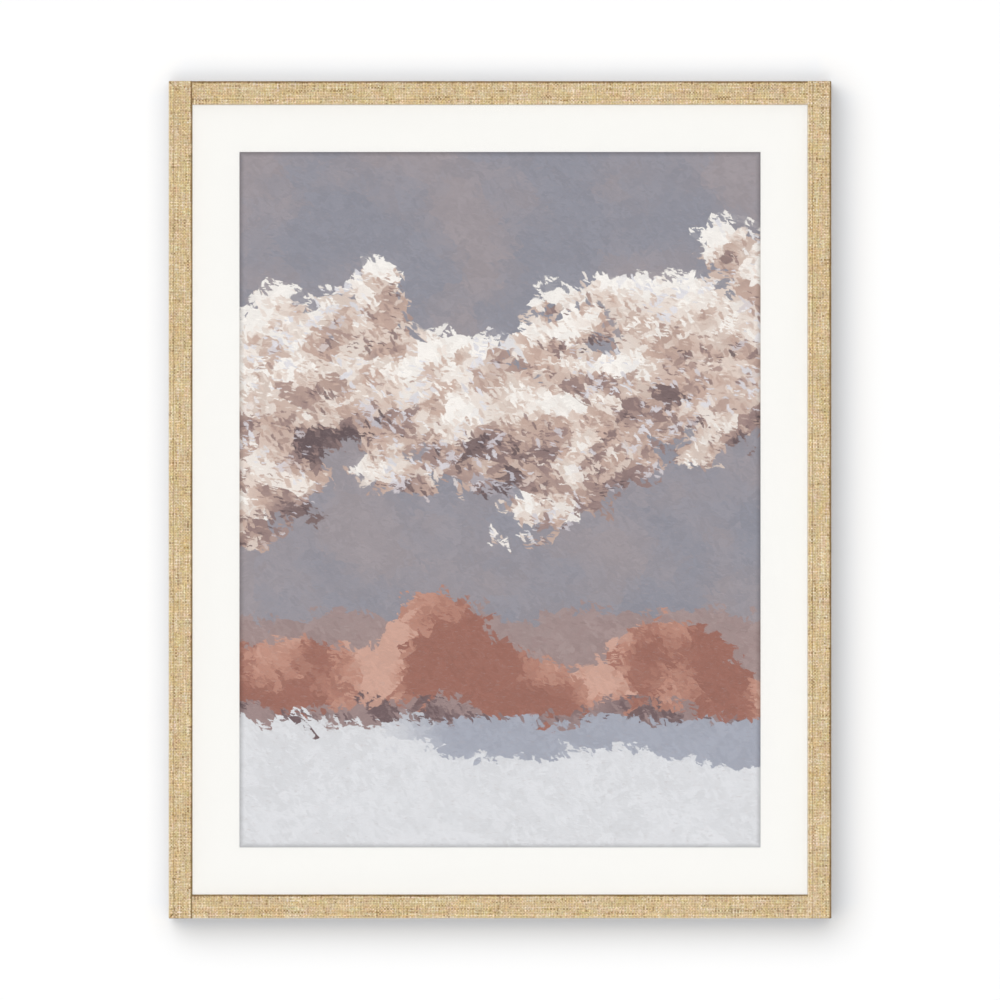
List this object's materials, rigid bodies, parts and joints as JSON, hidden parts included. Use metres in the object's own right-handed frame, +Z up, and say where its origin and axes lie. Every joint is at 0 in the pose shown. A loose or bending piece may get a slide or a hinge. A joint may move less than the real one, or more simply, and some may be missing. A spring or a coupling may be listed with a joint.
{
  "type": "framed art print",
  "caption": "Upright picture frame in a woven golden-tan cover, with glass, a thick off-white window mat and a painterly print; hangs flat on a wall from a sawtooth hanger.",
  "frame": {"origin": "where the wall's nail bears in the middle notch of the sawtooth hanger, on the wall plane y = 0", "axes": "+Z up along the frame's height, +X to the right as the picture is seen, -Y out of the wall towards the viewer"},
  "size_m": [0.581, 0.033, 0.734],
  "materials": {
    "pine": "bare planed pine",
    "woven_cover": "golden-tan plain weave with slubs, one arris rubbed dark brown",
    "beech": "bare turned beech",
    "clear_glass": "clear float glass",
    "mat_board": "off-white textured face paper over a white core",
    "printed_paper": "matte print in slate, blush, cream and terracotta",
    "gummed_tape": "gummed paper tape",
    "hardboard": "brown pressed hardboard",
    "steel": "bare sheet steel",
    "plated_steel": "thin brass plating",
    "bumper_rubber": "soft translucent bumper, modelled opaque"
  },
  "bodies": {
    "root": {"left_stile": "pine", "right_stile": "pine", "top_rail": "pine", "bottom_rail": "pine", "left_stile_cover": "woven_cover", "right_stile_cover": "woven_cover", "top_rail_cover": "woven_cover", "bottom_rail_cover": "woven_cover", "glazing": "clear_glass", "window_mat": "mat_board", "art_print": "printed_paper", "print_tape_left": "gummed_tape", "print_tape_right": "gummed_tape", "backing_board": "hardboard", "dowel_top_left_1": "beech", "dowel_top_left_2": "beech", "dowel_top_right_1": "beech", "dowel_top_right_2": "beech", "dowel_bottom_left_1": "beech", "dowel_bottom_left_2": "beech", "dowel_bottom_right_1": "beech", "dowel_bottom_right_2": "beech", "point_left_1": "steel", "point_left_2": "steel", "point_left_3": "steel", "point_left_4": "steel", "point_right_1": "steel", "point_right_2": "steel", "point_right_3": "steel", "point_right_4": "steel", "point_top_1": "steel", "point_top_2": "steel", "point_top_3": "steel", "point_bottom_1": "steel", "point_bottom_2": "steel", "point_bottom_3": "steel", "sawtooth_hanger": "plated_steel", "hanger_nail_left": "plated_steel", "hanger_nail_right": "plated_steel", "bumper_left": "bumper_rubber", "bumper_right": "bumper_rubber"}
  },
  "joints": []
}
